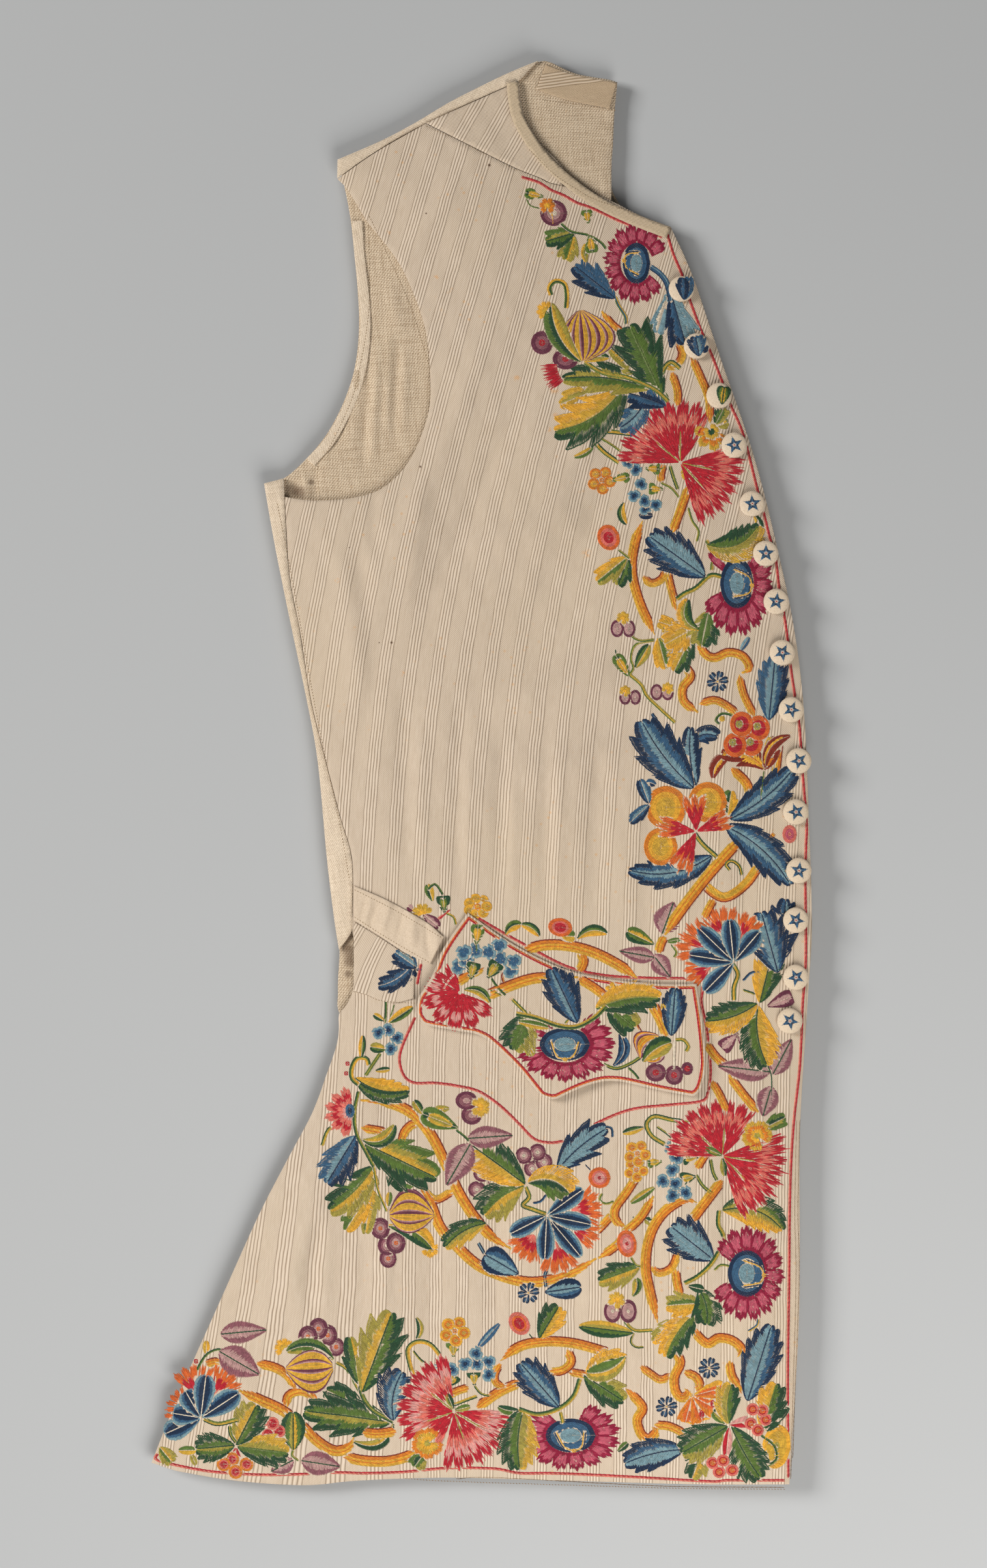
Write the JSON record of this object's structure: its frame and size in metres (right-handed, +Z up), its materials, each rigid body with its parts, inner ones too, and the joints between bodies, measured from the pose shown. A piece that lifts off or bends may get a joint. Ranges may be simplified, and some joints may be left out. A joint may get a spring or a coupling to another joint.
{
  "type": "embroidered waistcoat laid folded in half",
  "caption": "Long-skirted sleeveless waistcoat laid flat and folded at the centre back, with a shaped pocket flap and covered buttons.",
  "frame": {"origin": "on the surface it lies on, under the middle of the whole outline", "axes": "+X towards the buttoned front edge, +Y from hem to neck, +Z up out of the cloth"},
  "size_m": [0.44, 0.95, 0.0243],
  "materials": {
    "striped_cloth": "cream corded cotton and linen with groups of fine raised stripes, matt",
    "lining_linen": "coarse unbleached plain-weave linen",
    "twill_binding": "cream twill tape, hand sewn",
    "plain_patch": "plain cream cotton, soft and puckered",
    "button_cloth": "cream cloth over a disc, embroidered in wool",
    "crewel_wool": "dyed crewel wool embroidery, satin and stem stitches",
    "sewing_thread": "linen sewing thread"
  },
  "bodies": {
    "root": {"front_right": "striped_cloth", "shoulder_piece": "striped_cloth", "back_right": "lining_linen", "back_side_turned": "striped_cloth", "back_shoulder_turned": "striped_cloth", "back_neck_facing": "striped_cloth", "folded_left_half": "lining_linen", "armhole_binding": "lining_linen", "neck_binding": "twill_binding", "pocket_flap": "striped_cloth", "waist_patch": "plain_patch", "waist_insert": "striped_cloth", "button_01": "button_cloth", "button_02": "button_cloth", "button_03": "button_cloth", "button_04": "button_cloth", "button_05": "button_cloth", "button_06": "button_cloth", "button_07": "button_cloth", "button_08": "button_cloth", "button_09": "button_cloth", "button_10": "button_cloth", "button_11": "button_cloth", "button_12": "button_cloth", "button_13": "button_cloth", "button_14": "button_cloth", "button_15": "button_cloth"}
  },
  "joints": []
}
